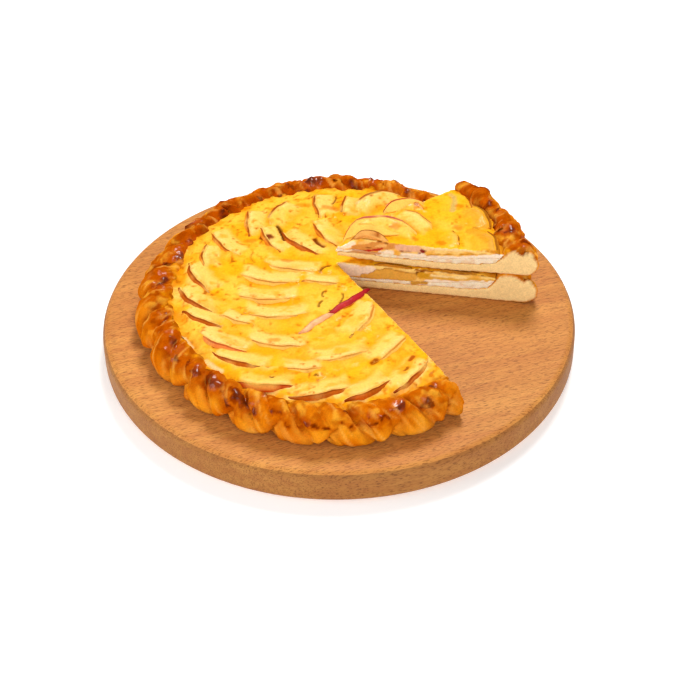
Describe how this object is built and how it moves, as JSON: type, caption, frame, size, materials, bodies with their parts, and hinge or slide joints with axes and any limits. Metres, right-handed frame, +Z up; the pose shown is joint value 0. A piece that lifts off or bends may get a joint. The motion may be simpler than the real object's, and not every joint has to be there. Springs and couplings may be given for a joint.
{
  "type": "open apple pie on a board",
  "caption": "Round open pie with a pleated rim, baked custard and apple slices, on a round wooden board; a wedge is taken out and one slice lies on top.",
  "frame": {"origin": "centre of the round board's flat underside, where it rests on the table", "axes": "+Z up, out of the board's top; -Y to the front, where the pie's rim is whole; +X to the right, where the wedge is missing"},
  "size_m": [0.32, 0.32, 0.0713],
  "materials": {
    "beech": "fine-sanded, oiled",
    "baked_dough": "baked, brushed with egg, browned on its knobs",
    "curd": "moist, crumbly",
    "custard": "baked, satin, toasted in spots",
    "apple": "baked fruit, moist and a little translucent"
  },
  "bodies": {
    "root": {"board": "beech", "pie_crust": "baked_dough", "pie_curd": "curd", "pie_custard": "custard", "apple_01": "apple", "apple_02": "apple", "apple_03": "apple", "apple_04": "apple", "apple_05": "apple", "apple_06": "apple", "apple_07": "apple", "apple_08": "apple", "apple_09": "apple", "apple_10": "apple", "apple_11": "apple", "apple_12": "apple", "apple_13": "apple", "apple_14": "apple", "apple_15": "apple", "apple_16": "apple", "apple_17": "apple", "apple_18": "apple", "apple_19": "apple", "apple_20": "apple", "apple_21": "apple", "apple_22": "apple", "apple_23": "apple", "apple_24": "apple", "apple_25": "apple", "apple_26": "apple", "apple_27": "apple", "apple_28": "apple", "apple_29": "apple", "apple_30": "apple", "apple_31": "apple", "apple_32": "apple", "apple_33": "apple", "apple_red": "apple", "slice_crust": "baked_dough", "slice_curd": "curd", "slice_custard": "custard", "slice_apple_1": "apple", "slice_apple_2": "apple", "slice_apple_3": "apple", "slice_apple_4": "apple", "slice_apple_5": "apple", "slice_apple_6": "apple", "slice_apple_7": "apple", "slice_apple_8": "apple"}
  },
  "joints": []
}
